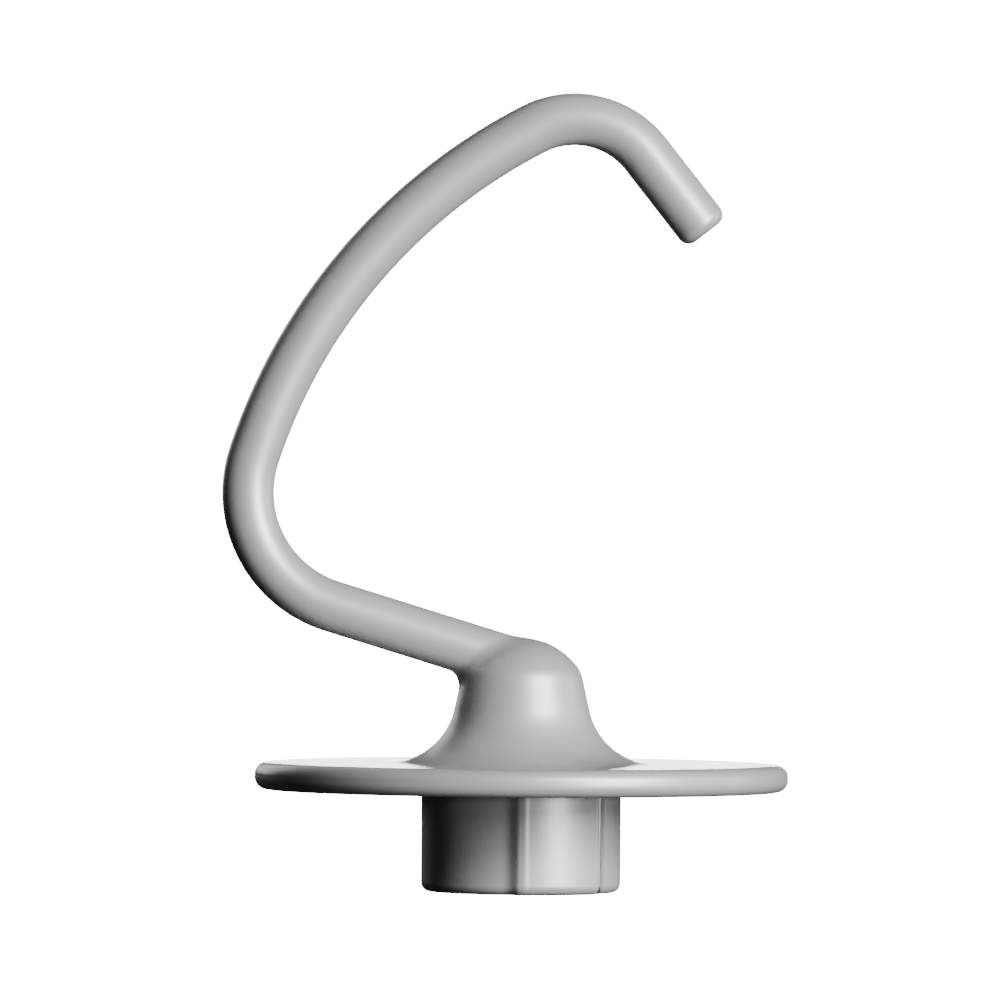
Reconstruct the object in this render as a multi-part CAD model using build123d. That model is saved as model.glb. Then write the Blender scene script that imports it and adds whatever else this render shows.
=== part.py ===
from build123d import *
from math import asin, cos, degrees, radians, sin, sqrt
import os

# Coated dough hook of a stand mixer, standing on the end of its drive collar.
# Millimetres. The origin is on the socket's axis at the collar's end face. +Z runs up
# that axis to the hook, and the hook's arm lies in the XZ plane. Sizes of the outer
# form are over the coat, and the metal pieces lie one coat thickness inside it.

# Coat: a skin over everything but the socket and the land round its mouth
coat_thickness = 0.2

# Arm: a round bar bent in one plane. Its straight root crosses the axis, then come
# the low bend, the long sweep, the top bend and the straight tip.
bar_diameter = 9.525
root_rise = 17.0
root_reach = 4.5
root_straight = 38.0
low_bend_radius = 22.7
low_bend_turn = 91.0
sweep_radius = 108.0
sweep_turn = 44.4
top_bend_radius = 17.2
top_bend_turn = 79.3
tip_straight = 19.0
tip_edge_round = 2.3

# Dome: the hub that the arm is set in, with a flared foot on the guard
crown_radius = 13.2
side_slope = 12.5
shoulder_round = 5.0
flare_radius = 13.0
flare_foot_radius = 25.6
foot_edge_height = 0.5
root_web = 3.1
arm_blend = 3.0

# Guard: the round plate that keeps dough off the drive
guard_diameter = 101.6
guard_thickness = 5.2
guard_edge_round = 2.3

# Collar: the drive socket, with a raised pad outside over its bayonet slot
collar_diameter = 38.0
collar_height = 19.3
collar_edge_round = 1.8
pad_height = 1.5
pad_start = 1.0
pad_end = 50.0
pad_edge_round = 0.8
spigot_diameter = 21.0
spigot_cap = 2.0
land_width = 1.2

# The mixer's shaft and cross pin, which the socket takes. The pin goes in at the
# entry, turns with the shaft to the lock and drops into its seat there.
shaft_diameter = 12.7
shaft_clearance = 0.2
pin_diameter = 4.76
pin_clearance = 0.64
pin_reach = 14.5
pin_end_clearance = 0.5
pin_height = 12.0
pin_seat_drop = 1.5
pin_entry_angle = 11.0
pin_lock_angle = 40.0
socket_depth = 32.0
mouth_chamfer = 0.4

# Radial gap for brazing round each piece that is let into another
braze_gap = 0.05

# Places that follow from these sizes
bar_radius = bar_diameter / 2
guard_bottom = collar_height
guard_top = guard_bottom + guard_thickness
collar_radius = collar_diameter / 2
pad_radius = collar_radius + pad_height
spigot_radius = spigot_diameter / 2
spigot_top = socket_depth + spigot_cap
bore_radius = (shaft_diameter + shaft_clearance) / 2
slot_width = pin_diameter + pin_clearance
slot_radius = pin_reach + pin_end_clearance
land_radius = slot_radius + land_width
hole_radius = bar_radius + braze_gap
rise = radians(root_rise)
root_drop = root_reach * sin(rise) + hole_radius * cos(rise)
root_height = spigot_top + root_web + root_drop
crown_top = root_height + (bar_radius + coat_thickness) / cos(rise)
crown_centre = Vector(0, 0, crown_top - crown_radius)

# Angles round the axis are counted from -Y, towards +X
pad_facing = -90.0
# How far a cutter runs past the face that it opens
overrun = 1.0


def on_plane(x, z):
    """A point or direction of the XZ plane."""
    return Vector(x, 0, z)


def arc_middle(centre, start, end):
    """The point halfway along the shorter arc from start to end."""
    outward = ((start - centre).normalized() + (end - centre).normalized()).normalized()
    return centre + outward * (start - centre).length


def arm_path(skin):
    """The arm's centre line, from its root inside the dome to skin short of its tip."""
    heading = 180 - root_rise
    direction = on_plane(cos(radians(heading)), sin(radians(heading)))
    on_axis = on_plane(0, root_height)
    place = on_axis + direction * root_straight
    edges = [Line(on_axis - direction * root_reach, place)]
    bends = (
        (low_bend_radius, low_bend_turn),
        (sweep_radius, sweep_turn),
        (top_bend_radius, top_bend_turn),
    )
    for radius, turn in bends:
        inward = on_plane(direction.Z, -direction.X)
        centre = place + inward * radius
        heading -= turn
        direction = on_plane(cos(radians(heading)), sin(radians(heading)))
        end = centre + on_plane(-direction.Z, direction.X) * radius
        edges.append(ThreePointArc(place, arc_middle(centre, place, end), end))
        place = end
    edges.append(Line(place, place + direction * (tip_straight - skin)))
    return Wire(edges)


def arm_body(skin):
    """The bent bar in its outer form, with skin taken off all over but the root."""
    path = arm_path(skin)
    section = Plane(origin=path @ 0, z_dir=path % 0) * Circle(bar_radius + coat_thickness - skin)
    bar = sweep(section, path=path)
    rims = bar.edges().filter_by(GeomType.CIRCLE)
    tip_rim = rims.sort_by(lambda rim: (rim.arc_center - (path @ 1)).length)[0]
    return fillet(tip_rim, tip_edge_round - skin)


def root_hole():
    """The hole in the dome for the arm's root, out through the dome's side."""
    path = arm_path(0)
    bottom = (path @ 0) - (path % 0) * braze_gap
    length = root_reach + root_straight
    hole = Cylinder(hole_radius, length, align=(Align.CENTER, Align.CENTER, Align.MIN))
    return Plane(origin=bottom, z_dir=path % 0) * hole


def dome_body(skin):
    """The crowned dome with its flare down to the guard, with skin taken off."""
    bottom = guard_top - skin
    crown = crown_radius - skin
    flare = flare_radius + skin
    flare_centre = on_plane(flare_foot_radius, guard_top + flare_radius)
    slope = radians(side_slope)
    side_up = on_plane(-sin(slope), cos(slope))
    side_low = flare_centre - on_plane(cos(slope), sin(slope)) * flare
    from_crown = side_low - crown_centre
    along = from_crown.dot(side_up)
    reach = sqrt(along**2 - from_crown.dot(from_crown) + crown**2) - along
    side_high = side_low + side_up * reach
    top = crown_centre + on_plane(0, crown)

    # Under the coat the foot stops before its flare runs out to nothing
    foot_radius = flare_foot_radius
    foot_height = bottom
    if skin:
        foot_height += foot_edge_height
        foot_radius -= sqrt(flare**2 - (flare_centre.Z - foot_height) ** 2)
    foot = on_plane(foot_radius, foot_height)
    corners = [on_plane(0, bottom), top]
    if skin:
        corners.insert(0, on_plane(foot_radius, bottom))
    section = make_face([
        ThreePointArc(top, arc_middle(crown_centre, top, side_high), side_high),
        Line(side_high, side_low),
        ThreePointArc(side_low, arc_middle(flare_centre, side_low, foot), foot),
        *Polyline(foot, *corners).edges(),
    ])
    shoulder = section.vertices().sort_by_distance(side_high)[0]
    return revolve(fillet(shoulder, shoulder_round - skin), Axis.Z)


def guard_body(skin):
    """The round plate, with skin taken off."""
    plate = Cylinder(guard_diameter / 2 - skin, guard_thickness - 2 * skin)
    plate = Pos(0, 0, (guard_bottom + guard_top) / 2) * plate
    return fillet(plate.edges().filter_by(GeomType.CIRCLE), guard_edge_round - skin)


def drum(radius, bottom, top, edge_round):
    """A drum about the axis with its low outer edge rounded."""
    low = on_plane(radius - edge_round, bottom)
    high = on_plane(radius, bottom + edge_round)
    round_centre = on_plane(low.X, high.Z)
    sides = Polyline(high, on_plane(radius, top), on_plane(0, top), on_plane(0, bottom), low)
    section = make_face([ThreePointArc(low, arc_middle(round_centre, low, high), high), *sides.edges()])
    return revolve(section, Axis.Z)


def collar_body(skin, top):
    """The collar and the raised pad over its bayonet slot, with skin taken off."""
    edge_round = collar_edge_round - skin
    radius = pad_radius - skin
    side = degrees(asin(skin / pad_radius))
    sector = about_axis(radius, skin, top, pad_end - pad_start - 2 * side)
    uprights = sector.edges().filter_by(Axis.Z)
    corners = uprights.filter_by(lambda edge: edge.center().cross(Vector(0, 0, 1)).length > collar_radius)
    pad = Rot(0, 0, pad_facing + pad_start + side) * fillet(corners, pad_edge_round)
    pad = pad & drum(radius, skin, top, edge_round)
    return drum(collar_radius - skin, skin, top, edge_round) + pad


def about_axis(radius, bottom, top, turn=360):
    """A plain cylinder about the socket's axis, or a sector of one."""
    upright = (Align.NONE, Align.NONE, Align.MIN)
    return Pos(0, 0, bottom) * Cylinder(radius, top - bottom, arc_size=turn, align=upright)


def pin_way(angle, bottom, top):
    """A straight slot from the axis out to the pin's reach, with a flat end."""
    way = Box(slot_radius, slot_width, top - bottom, align=(Align.MIN, Align.CENTER, Align.MIN))
    return Pos(0, 0, bottom) * Rot(0, 0, pad_facing + angle) * way


def socket_cut():
    """The shaft's bore, and the bayonet slot that its cross pin turns in."""
    low = pin_height - slot_width / 2
    high = pin_height + slot_width / 2
    bore = about_axis(bore_radius, -overrun, socket_depth)
    mouth = Pos(0, 0, mouth_chamfer / 2) * Cone(bore_radius + mouth_chamfer, bore_radius, mouth_chamfer)
    entry = pin_way(pin_entry_angle, -overrun, high)
    travel = about_axis(slot_radius, low, high, pin_lock_angle - pin_entry_angle)
    travel = Rot(0, 0, pad_facing + pin_entry_angle) * travel
    seat = pin_way(pin_lock_angle, low - pin_seat_drop, high)
    return bore + mouth + entry + travel + seat


def spigot_cut():
    """The hole in the guard and the dome that the collar's spigot stands in."""
    return about_axis(spigot_radius + braze_gap, guard_bottom, spigot_top + braze_gap)


def solid_collar(top):
    """The collar in metal, with no socket in it and the bare land round its mouth."""
    return collar_body(coat_thickness, top) + about_axis(land_radius, 0, collar_height)


def metal_form():
    """The four metal pieces as one closed form, with every hole and gap filled."""
    skin = coat_thickness
    return arm_body(skin) + dome_body(skin) + guard_body(skin) + solid_collar(guard_top - skin)


def outer_form():
    """Everything over the coat, blended where the arm joins the dome."""
    upper = dome_body(0) + arm_body(0)
    upper = fillet(upper.edges().filter_by(GeomType.BSPLINE), arm_blend)
    return upper + guard_body(0) + collar_body(0, guard_top)


def hook_arm():
    """The bent bar in metal, root and all."""
    return arm_body(coat_thickness)


def hub_dome():
    """The dome in metal, with the holes for the arm and the spigot in it."""
    return dome_body(coat_thickness) - root_hole() - spigot_cut()


def dough_guard():
    """The plate in metal, with the spigot's hole in it."""
    return guard_body(coat_thickness) - spigot_cut()


def drive_collar():
    """The collar in metal, with the socket in it."""
    spigot = about_axis(spigot_radius, guard_bottom, spigot_top)
    return solid_collar(guard_bottom + coat_thickness) + spigot - socket_cut()


def coating():
    """What lies between the outer form and the metal, open over the socket."""
    return outer_form() - metal_form() - socket_cut()


if __name__ == "__main__":
    os.makedirs("parts", exist_ok=True)
    for piece in (hook_arm, hub_dome, dough_guard, drive_collar, coating):
        body = piece()
        body.label = piece.__name__
        export_step(body, f"parts/{piece.__name__}.step")
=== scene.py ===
from math import cos, pi, radians, sin, sqrt

import bmesh
import bpy
import numpy as np
from mathutils import Matrix, Vector


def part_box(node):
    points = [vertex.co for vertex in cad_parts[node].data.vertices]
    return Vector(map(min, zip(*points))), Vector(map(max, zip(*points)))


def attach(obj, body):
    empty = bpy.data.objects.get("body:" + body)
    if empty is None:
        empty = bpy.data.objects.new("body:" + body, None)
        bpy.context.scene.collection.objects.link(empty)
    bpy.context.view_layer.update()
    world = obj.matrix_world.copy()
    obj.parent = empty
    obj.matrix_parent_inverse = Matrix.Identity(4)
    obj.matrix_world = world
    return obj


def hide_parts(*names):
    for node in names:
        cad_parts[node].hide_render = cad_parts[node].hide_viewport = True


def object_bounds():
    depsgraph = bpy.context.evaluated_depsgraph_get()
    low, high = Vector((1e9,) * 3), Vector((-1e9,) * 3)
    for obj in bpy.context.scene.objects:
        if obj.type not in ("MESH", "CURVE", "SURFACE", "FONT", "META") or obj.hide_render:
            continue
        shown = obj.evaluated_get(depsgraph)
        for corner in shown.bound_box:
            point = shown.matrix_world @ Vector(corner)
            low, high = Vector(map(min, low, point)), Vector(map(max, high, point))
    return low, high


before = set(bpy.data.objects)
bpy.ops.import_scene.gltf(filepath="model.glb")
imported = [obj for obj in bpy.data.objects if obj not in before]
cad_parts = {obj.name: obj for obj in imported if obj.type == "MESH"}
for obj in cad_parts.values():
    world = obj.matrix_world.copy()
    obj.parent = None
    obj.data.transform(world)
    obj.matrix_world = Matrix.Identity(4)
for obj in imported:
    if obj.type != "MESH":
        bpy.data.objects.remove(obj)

# The visual model of a coated dough hook. Metres, in the frame of the CAD model: the
# origin is on the socket's axis at the collar's end face, +Z up, the arm in the XZ plane.
# The coat is made here as one skin, blended where the arm, dome, guard and collar meet.
# The metal pieces under it are the CAD model's own.

MM = 0.001
cad_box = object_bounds()

# Places that the CAD nodes give
guard_low, guard_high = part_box("dough_guard")
coat_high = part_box("coating")[1]
arm_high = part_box("hook_arm")[1]
hub_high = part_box("hub_dome")[1]
collar_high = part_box("drive_collar")[1]
coat_thickness = coat_high.x - guard_high.x
guard_radius = coat_high.x
guard_bottom = guard_low.z - coat_thickness
guard_top = guard_high.z + coat_thickness
collar_radius = collar_high.x + coat_thickness
arm_radius = arm_high.y + coat_thickness
crown_top = hub_high.z + coat_thickness

# The arm's centre line, as bent: root, three bends, tip
ROOT_RISE = radians(17.0)
ROOT_REACH = 2.0 * MM
ROOT_STRAIGHT = 38.0 * MM
BENDS = ((22.7 * MM, radians(91.0)), (108.0 * MM, radians(44.4)), (17.2 * MM, radians(79.3)))
TIP_STRAIGHT = 19.0 * MM
TIP_ROUND = 2.3 * MM
root_height = crown_top - arm_radius / cos(ROOT_RISE)

# The turned form: collar, guard, flare, side, shoulder and crown
LAND_RADIUS = 16.2 * MM
COLLAR_ROUND = 1.8 * MM
COLLAR_BLEND = 0.6 * MM
GUARD_ROUND = 2.3 * MM
FLARE_FOOT = 25.6 * MM
FLARE_RADIUS = 13.0 * MM
SIDE_SLOPE = radians(12.5)
SHOULDER_ROUND = 5.0 * MM
CROWN_RADIUS = 13.2 * MM

# The pad over the bayonet slot, by angles from -Y towards +X: where it rises, where it
# falls, and the place, width and height of the bead of coat along its edge
PAD_HEIGHT = 1.5 * MM
PAD_START = (radians(-13.5), radians(-0.5))
PAD_BEAD = (radians(2.0), radians(1.7), 0.11 * MM)
PAD_END = (radians(44.0), radians(56.5))

# How softly the arm runs into the dome, at the crown's top and lower down
BLEND_TOP = 1.2 * MM
BLEND_SIDE = 3.6 * MM
BLEND_DEPTH = 8.0 * MM

# The coat's mesh: its grain, how the blanks are cut, and how near counts as on a face
VOXEL = 0.5 * MM
TUBE_STEP = 1.0 * MM
TUBE_SIDES = 48
LATHE_STEP = 0.4 * MM
LATHE_SIDES = 360
SLOPE_STEP = 0.02 * MM
FIT_ROUNDS = 5
NEAR = 0.05 * MM


# ---------------------------------------------------------------- the coat's exact form

class Stroke:
    """A straight stretch of a plane curve. The solid lies on its left."""

    def __init__(self, start, end):
        self.start = np.array(start, float)
        self.end = np.array(end, float)
        self.length = np.linalg.norm(self.end - self.start)
        self.along = (self.end - self.start) / self.length

    def distance(self, u, v):
        du, dv = u - self.start[0], v - self.start[1]
        s = np.clip(du * self.along[0] + dv * self.along[1], 0, self.length)
        return np.hypot(du - s * self.along[0], dv - s * self.along[1])

    def side(self, u, v):
        du, dv = u - self.start[0], v - self.start[1]
        return du * self.along[1] - dv * self.along[0]

    def points(self, step):
        """The ends alone, whatever the step, since a straight needs no more."""
        return [self.start, self.end]


class Bow:
    """A round stretch of a plane curve, from one angle to another about a centre."""

    def __init__(self, centre, radius, first, last):
        self.centre = np.array(centre, float)
        self.radius = radius
        self.first = first
        self.last = last

    def at(self, angle):
        return self.centre + self.radius * np.array([cos(angle), sin(angle)])

    def distance(self, u, v):
        du, dv = u - self.centre[0], v - self.centre[1]
        middle = (self.first + self.last) / 2
        half = abs(self.last - self.first) / 2
        turn = (np.arctan2(dv, du) - middle + pi) % (2 * pi) - pi
        inside = np.abs(turn) <= half
        ends = [np.hypot(u - p[0], v - p[1]) for p in (self.at(self.first), self.at(self.last))]
        return np.where(inside, np.abs(np.hypot(du, dv) - self.radius), np.minimum(*ends))

    def side(self, u, v):
        out = np.hypot(u - self.centre[0], v - self.centre[1]) - self.radius
        return out if self.last > self.first else -out

    def points(self, step):
        count = max(2, int(abs(self.last - self.first) * self.radius / step) + 1)
        return [self.at(a) for a in np.linspace(self.first, self.last, count)]


def signed(strokes, u, v):
    """Distance to a closed curve of tangent strokes: below zero inside."""
    nearest = np.full(u.shape, np.inf)
    sign = np.ones(u.shape)
    for stroke in strokes:
        d = stroke.distance(u, v)
        closer = d < nearest
        nearest = np.where(closer, d, nearest)
        sign = np.where(closer, np.sign(stroke.side(u, v)), sign)
    return nearest * sign


def turned_profile():
    """The turned form's outline from the axis at the bottom to the axis at the top."""
    flare_centre = np.array([FLARE_FOOT, guard_top + FLARE_RADIUS])
    crown_centre = np.array([0.0, crown_top - CROWN_RADIUS])
    towards_axis = np.array([-cos(SIDE_SLOPE), -sin(SIDE_SLOPE)])
    side_up = np.array([-sin(SIDE_SLOPE), cos(SIDE_SLOPE)])
    side_low = flare_centre + towards_axis * FLARE_RADIUS
    from_crown = side_low + towards_axis * SHOULDER_ROUND - crown_centre
    along = from_crown @ side_up
    reach = sqrt(along**2 - from_crown @ from_crown + (CROWN_RADIUS - SHOULDER_ROUND) ** 2) - along
    shoulder_centre = side_low + towards_axis * SHOULDER_ROUND + side_up * reach
    outward = shoulder_centre - crown_centre
    shoulder_end = np.arctan2(outward[1], outward[0])
    rim = guard_radius - GUARD_ROUND
    neck = collar_radius + COLLAR_BLEND
    return [
        Stroke((0, 0), (collar_radius - COLLAR_ROUND, 0)),
        Bow((collar_radius - COLLAR_ROUND, COLLAR_ROUND), COLLAR_ROUND, -pi / 2, 0),
        Stroke((collar_radius, COLLAR_ROUND), (collar_radius, guard_bottom - COLLAR_BLEND)),
        Bow((neck, guard_bottom - COLLAR_BLEND), COLLAR_BLEND, pi, pi / 2),
        Stroke((neck, guard_bottom), (rim, guard_bottom)),
        Bow((rim, guard_bottom + GUARD_ROUND), GUARD_ROUND, -pi / 2, 0),
        Stroke((guard_radius, guard_bottom + GUARD_ROUND), (guard_radius, guard_top - GUARD_ROUND)),
        Bow((rim, guard_top - GUARD_ROUND), GUARD_ROUND, 0, pi / 2),
        Stroke((rim, guard_top), (FLARE_FOOT, guard_top)),
        Bow(flare_centre, FLARE_RADIUS, -pi / 2, -pi + SIDE_SLOPE),
        Stroke(side_low, side_low + side_up * reach),
        Bow(shoulder_centre, SHOULDER_ROUND, SIDE_SLOPE, shoulder_end),
        Bow(crown_centre, CROWN_RADIUS, shoulder_end, pi / 2),
    ]


def arm_strokes():
    """The arm's centre line in the XZ plane, from inside the dome to the tip."""
    heading = pi - ROOT_RISE
    crossing = np.array([0, root_height])
    ahead = np.array([cos(heading), sin(heading)])
    end = crossing + ROOT_STRAIGHT * ahead
    strokes = [Stroke(crossing - ROOT_REACH * ahead, end)]
    for radius, turn in BENDS:
        centre = end + radius * np.array([sin(heading), -cos(heading)])
        bow = Bow(centre, radius, heading + pi / 2, heading + pi / 2 - turn)
        strokes.append(bow)
        end = bow.at(bow.last)
        heading -= turn
    ahead = np.array([cos(heading), sin(heading)])
    strokes.append(Stroke(end, end + TIP_STRAIGHT * ahead))
    return strokes


PROFILE = turned_profile()
ARM = arm_strokes()


def smooth_step(x, low, high):
    t = np.clip((x - low) / (high - low), 0, 1)
    return t * t * (3 - 2 * t)


def pad_swell(angle):
    """How far the pad stands off the collar, with the thick bead of coat along its edge."""
    cove = np.clip((angle - PAD_START[0]) / (PAD_START[1] - PAD_START[0]), 0, 1) ** 2
    pad = smooth_step(cove, 0, 1) * (1 - smooth_step(angle, *PAD_END))
    place, width, height = PAD_BEAD
    return PAD_HEIGHT * pad + height * np.exp(-((angle - place) / width) ** 2)


def turned_distance(p):
    """Distance to the turned form, with the collar swelled where the pad is."""
    x, y, z = p.T
    angle = np.arctan2(x, -y)
    radius = np.hypot(x, y) - pad_swell(angle) * (z < guard_bottom)
    return signed(PROFILE, np.maximum(radius, 0), z)


def arm_distance(p):
    """Distance to the bent bar with its square tip rounded at the edge."""
    x, y, z = p.T
    flat = np.full(x.shape, np.inf)
    for stroke in ARM[:-1]:
        flat = np.minimum(flat, stroke.distance(x, z))
    tip = ARM[-1]
    du, dv = x - tip.start[0], z - tip.start[1]
    along = du * tip.along[0] + dv * tip.along[1]
    across = np.hypot(du * tip.along[1] - dv * tip.along[0], y) - arm_radius + TIP_ROUND
    past = along - tip.length + TIP_ROUND
    corner = np.hypot(np.maximum(across, 0), np.maximum(past, 0))
    end = np.minimum(np.maximum(across, past), 0) + corner - TIP_ROUND
    return np.minimum(np.hypot(flat, y) - arm_radius, np.where(along > 0, end, np.inf))


def form(p):
    """The whole coat's distance, with the arm run smoothly into the dome."""
    arm, turned = arm_distance(p), turned_distance(p)
    depth = np.clip((crown_top - p[:, 2]) / BLEND_DEPTH, 0, 1)
    blend = BLEND_TOP + (BLEND_SIDE - BLEND_TOP) * depth
    near = np.maximum(blend - np.abs(arm - turned), 0) / blend
    return np.minimum(arm, turned) - near**2 * blend / 4


def slope(p):
    """The form's outward direction at each point, from four points close round it."""
    corners = np.array([(1, -1, -1), (-1, -1, 1), (-1, 1, -1), (1, 1, 1)], float)
    total = sum(corner * form(p + SLOPE_STEP * corner)[:, None] for corner in corners)
    return total / (4 * SLOPE_STEP)


# ---------------------------------------------------------------- meshes

def stations(strokes, step):
    """Points along the centre line, each with the line's heading there."""
    found = []
    for stroke in strokes:
        if isinstance(stroke, Bow):
            count = int(abs(stroke.last - stroke.first) * stroke.radius / step) + 2
            for angle in np.linspace(stroke.first, stroke.last, count):
                found.append((stroke.at(angle), angle - pi / 2))
        else:
            heading = np.arctan2(stroke.along[1], stroke.along[0])
            for s in np.linspace(0, stroke.length, int(stroke.length / step) + 2):
                found.append((stroke.start + s * stroke.along, heading))
    return found


def tube_mesh(bm, strokes, radius, step, sides):
    """A closed tube along the arm's centre line, as a blank for the remesh."""
    rings = []
    for centre, heading in stations(strokes, step):
        ring = []
        for k in range(sides):
            a = 2 * pi * k / sides
            off = radius * cos(a)
            x = centre[0] - off * sin(heading)
            z = centre[1] + off * cos(heading)
            ring.append(bm.verts.new((x, radius * sin(a), z)))
        rings.append(ring)
    skin_rings(bm, rings)


def skin_rings(bm, rings):
    """Quads between rings of points, and a cap on each end."""
    sides = len(rings[0])
    for low, high in zip(rings, rings[1:]):
        for k in range(sides):
            n = (k + 1) % sides
            bm.faces.new((low[k], low[n], high[n], high[k]))
    bm.faces.new(rings[0][::-1])
    bm.faces.new(rings[-1])


def lathe_mesh(bm, profile, step, sides):
    """The turned form as a closed blank, with the pad's swell in it."""
    outline = [p for stroke in profile for p in stroke.points(step)]
    outline = [p for p in outline if p[0] > step / 4]
    rings = []
    for r, z in outline:
        ring = []
        for k in range(sides):
            a = 2 * pi * k / sides
            turn = a if a < pi else a - 2 * pi
            swelled = z < guard_bottom - NEAR and r > LAND_RADIUS
            out = r + (float(pad_swell(turn)) if swelled else 0)
            ring.append(bm.verts.new((out * sin(a), -out * cos(a), z)))
        rings.append(ring)
    skin_rings(bm, rings)


def vertex_places(mesh):
    points = np.zeros(len(mesh.vertices) * 3)
    mesh.vertices.foreach_get("co", points)
    return points.reshape(-1, 3)


def coat_mesh():
    """The coat: blanks joined by a remesh, then every point set on the exact form."""
    bm = bmesh.new()
    tube_mesh(bm, ARM, arm_radius, TUBE_STEP, TUBE_SIDES)
    lathe_mesh(bm, PROFILE, LATHE_STEP, LATHE_SIDES)
    mesh = bpy.data.meshes.new("coat_blank")
    bm.to_mesh(mesh)
    bm.free()
    blank = bpy.data.objects.new("coat_blank", mesh)
    bpy.context.scene.collection.objects.link(blank)
    remesh = blank.modifiers.new("remesh", "REMESH")
    remesh.mode = "VOXEL"
    remesh.voxel_size = VOXEL
    remesh.adaptivity = 0
    graph = bpy.context.evaluated_depsgraph_get()
    mesh = bpy.data.meshes.new_from_object(blank.evaluated_get(graph))
    bpy.data.objects.remove(blank)
    mesh.name = "coat"
    points = vertex_places(mesh)
    for _ in range(FIT_ROUNDS):
        out = slope(points)
        size = np.maximum((out**2).sum(1), 0.25)
        points -= np.clip(form(points) / size, -VOXEL, VOXEL)[:, None] * out
    mesh.vertices.foreach_set("co", points.ravel())
    mesh.update()
    return mesh


def open_mouth(mesh):
    """Cuts the bare land out of the coat's bottom, and turns the edge up to the metal."""
    bm = bmesh.new()
    bm.from_mesh(mesh)
    doomed = []
    for face in bm.faces:
        inside = all(v.co.xy.length < LAND_RADIUS for v in face.verts)
        if inside and all(v.co.z < NEAR for v in face.verts):
            doomed.append(face)
    bmesh.ops.delete(bm, geom=doomed, context="FACES")
    border = [edge for edge in bm.edges if edge.is_boundary]
    for vert in {v for edge in border for v in edge.verts}:
        flat_place = Vector((vert.co.x, vert.co.y, 0))
        vert.co = flat_place * (LAND_RADIUS / flat_place.length)
    lip = bmesh.ops.extrude_edge_only(bm, edges=border)["geom"]
    for vert in [g for g in lip if isinstance(g, bmesh.types.BMVert)]:
        vert.co.z += coat_thickness
    bmesh.ops.recalc_face_normals(bm, faces=bm.faces)
    bm.to_mesh(mesh)
    bm.free()
    mesh.update()


def make_coat():
    """The coat's object, shaded by the exact form's own normals."""
    mesh = coat_mesh()
    open_mouth(mesh)
    for polygon in mesh.polygons:
        polygon.use_smooth = True
    out = slope(vertex_places(mesh))
    out /= np.maximum(np.linalg.norm(out, axis=1, keepdims=True), 1e-9)
    mesh.normals_split_custom_set_from_vertices(out.tolist())
    coat = bpy.data.objects.new("coat_skin", mesh)
    bpy.context.scene.collection.objects.link(coat)
    return coat


# ---------------------------------------------------------------- materials

# The floor's and the sky's brightness as the camera sees them, and the sky's as light
FLOOR_GLOW = 22.0
SKY = 22.0
AMBIENT = 0.02

def new_material(name):
    material = bpy.data.materials.new(name)
    material.use_nodes = True
    nodes, links = material.node_tree.nodes, material.node_tree.links
    return material, nodes, links, nodes["Principled BSDF"]


def noise(nodes, links, place, scale, detail):
    node = nodes.new("ShaderNodeTexNoise")
    node.inputs["Scale"].default_value = scale
    node.inputs["Detail"].default_value = detail
    links.new(place, node.inputs["Vector"])
    return node.outputs["Fac"]


def ramp(nodes, links, value, low, high, at=(0.3, 0.7)):
    node = nodes.new("ShaderNodeValToRGB")
    for element, level, place in zip(node.color_ramp.elements, (low, high), at):
        element.position = place
        element.color = (*level, 1) if isinstance(level, tuple) else (level, level, level, 1)
    links.new(value, node.inputs["Fac"])
    return node.outputs["Color"]


def bump(nodes, links, height, strength, distance, under=None):
    node = nodes.new("ShaderNodeBump")
    node.inputs["Strength"].default_value = strength
    node.inputs["Distance"].default_value = distance
    links.new(height, node.inputs["Height"])
    if under is not None:
        links.new(under, node.inputs["Normal"])
    return node.outputs["Normal"]


def coat_material():
    """Satin grey coat with a metal fleck: faint mottling, uneven gloss, fine orange peel."""
    material, nodes, links, shader = new_material("grey_coat")
    place = nodes.new("ShaderNodeTexCoord").outputs["Object"]
    mottle = noise(nodes, links, place, 60, 5)
    links.new(ramp(nodes, links, mottle, 0.355, 0.375), shader.inputs["Base Color"])
    gloss = noise(nodes, links, place, 180, 4)
    links.new(ramp(nodes, links, gloss, 0.44, 0.48), shader.inputs["Roughness"])
    peel = noise(nodes, links, place, 700, 2)
    grain = noise(nodes, links, place, 3500, 2)
    coarse = bump(nodes, links, peel, 0.12, 0.02 * MM)
    links.new(bump(nodes, links, grain, 0.08, 0.01 * MM, coarse), shader.inputs["Normal"])
    shader.inputs["Metallic"].default_value = 0.38
    shader.inputs["Coat Weight"].default_value = 0.4
    shader.inputs["Coat Roughness"].default_value = 0.25
    return material


def metal_material(name, turned):
    """Bare aluminium with the marks of turning round the axis, or of drawing."""
    material, nodes, links, shader = new_material(name)
    place = nodes.new("ShaderNodeTexCoord").outputs["Object"]
    cloud = noise(nodes, links, place, 90, 4)
    links.new(ramp(nodes, links, cloud, (0.60, 0.60, 0.61), (0.70, 0.70, 0.70)), shader.inputs["Base Color"])
    links.new(ramp(nodes, links, noise(nodes, links, place, 240, 3), 0.28, 0.42), shader.inputs["Roughness"])
    marks = nodes.new("ShaderNodeTexWave")
    marks.wave_type = "RINGS" if turned else "BANDS"
    marks.inputs["Scale"].default_value = 900
    marks.inputs["Distortion"].default_value = 1.5
    marks.inputs["Detail"].default_value = 3
    if turned:
        marks.rings_direction = "Z"
    links.new(place, marks.inputs["Vector"])
    links.new(bump(nodes, links, marks.outputs["Fac"], 0.2, 0.01 * MM), shader.inputs["Normal"])
    shader.inputs["Metallic"].default_value = 1.0
    return material


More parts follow.
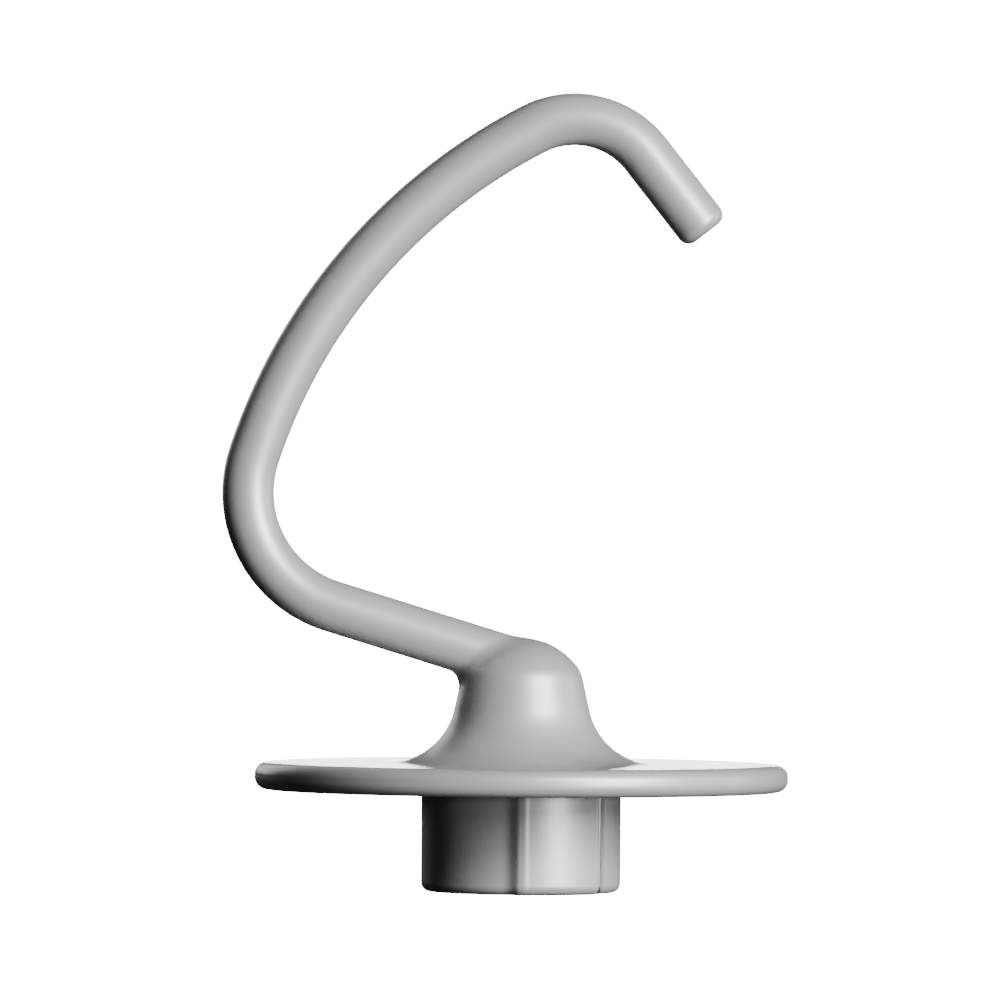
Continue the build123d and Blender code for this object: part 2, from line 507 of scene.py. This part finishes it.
def floor_material():
    """A pale floor that the camera sees as evenly white as the sky behind it."""
    material, nodes, links, shader = new_material("pale_floor")
    shader.inputs["Base Color"].default_value = (0.9, 0.9, 0.9, 1)
    shader.inputs["Roughness"].default_value = 0.9
    shader.inputs["Specular IOR Level"].default_value = 0.0
    shader.inputs["Emission Color"].default_value = (1, 1, 1, 1)
    shader.inputs["Emission Strength"].default_value = FLOOR_GLOW
    return material


# ---------------------------------------------------------------- the object

coat = make_coat()
coat.data.materials.append(coat_material())
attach(coat, "root")
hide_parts("coating")

turned_metal = metal_material("turned_aluminium", True)
drawn_metal = metal_material("drawn_aluminium", False)
for name in ("hub_dome", "dough_guard", "drive_collar"):
    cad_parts[name].data.materials.clear()
    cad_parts[name].data.materials.append(turned_metal)
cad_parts["hook_arm"].data.materials.clear()
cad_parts["hook_arm"].data.materials.append(drawn_metal)

# ---------------------------------------------------------------- floor, light, camera

floor_mesh = bpy.data.meshes.new("floor")
bm = bmesh.new()
bmesh.ops.create_circle(bm, cap_ends=True, segments=128, radius=60)
bm.to_mesh(floor_mesh)
bm.free()
floor = bpy.data.objects.new("floor", floor_mesh)
bpy.context.scene.collection.objects.link(floor)
floor_mesh.materials.append(floor_material())
floor.visible_diffuse = False
floor.visible_glossy = False

world = bpy.data.worlds.new("studio")
bpy.context.scene.world = world
world.use_nodes = True
nodes, links = world.node_tree.nodes, world.node_tree.links
seen = nodes.new("ShaderNodeBackground")
seen.inputs["Strength"].default_value = SKY
around = nodes["Background"]
around.inputs["Color"].default_value = (1, 1, 1, 1)
around.inputs["Strength"].default_value = AMBIENT
path = nodes.new("ShaderNodeLightPath")
mix = nodes.new("ShaderNodeMixShader")
links.new(path.outputs["Is Camera Ray"], mix.inputs["Fac"])
links.new(around.outputs["Background"], mix.inputs[1])
links.new(seen.outputs["Background"], mix.inputs[2])
links.new(mix.outputs["Shader"], nodes["World Output"].inputs["Surface"])


def softbox(name, place, target, width, height, power, shape="RECTANGLE"):
    """A lamp of this size in metres and power in watts, turned to its target."""
    light = bpy.data.lights.new(name, "AREA")
    light.shape = shape
    light.size = width
    light.size_y = height
    light.energy = power
    lamp = bpy.data.objects.new(name, light)
    lamp.location = place
    lamp.visible_camera = False
    lamp.rotation_euler = (Vector(target) - Vector(place)).to_track_quat("-Z", "Y").to_euler()
    bpy.context.scene.collection.objects.link(lamp)


middle = (cad_box[0] + cad_box[1]) / 2
softbox("key", (0.86, -0.84, 0.36), middle, 0.42, 0.42, 33)
softbox("low", (0.76, -0.96, 0.05), (0, 0, 0.02), 0.34, 0.09, 9)
softbox("gleam", (0.58, -1.08, 0.56), middle, 0.34, 0.34, 13, "ELLIPSE")
softbox("side", (1.25, 0.25, 0.15), middle, 0.3, 0.6, 3)
softbox("rim", (-0.70, 1.35, 0.45), middle, 0.8, 0.7, 4)
softbox("top", (0.30, -0.20, 1.2), middle, 0.7, 0.5, 0.8)
softbox("back", (0.05, 1.6, 0.10), (0, 0, 0.03), 0.4, 0.12, 8)

VIEW_DISTANCE = 1.96
FIELD_WIDTH = 190.4 * MM
SIGHT = Vector((-4.43 * MM, 0, 74.57 * MM))
ROLL = radians(-0.4)
camera = bpy.data.cameras.new("camera")
camera.sensor_width = 36
camera.lens = camera.sensor_width * VIEW_DISTANCE / FIELD_WIDTH
camera.clip_start = 0.05
camera.clip_end = 200
eye = bpy.data.objects.new("camera", camera)
bpy.context.scene.collection.objects.link(eye)
eye.matrix_world = (Matrix.Translation(SIGHT - Vector((0, VIEW_DISTANCE, 0)))
                    @ Matrix.Rotation(ROLL, 4, "Y") @ Matrix.Rotation(pi / 2, 4, "X"))
bpy.context.scene.camera = eye
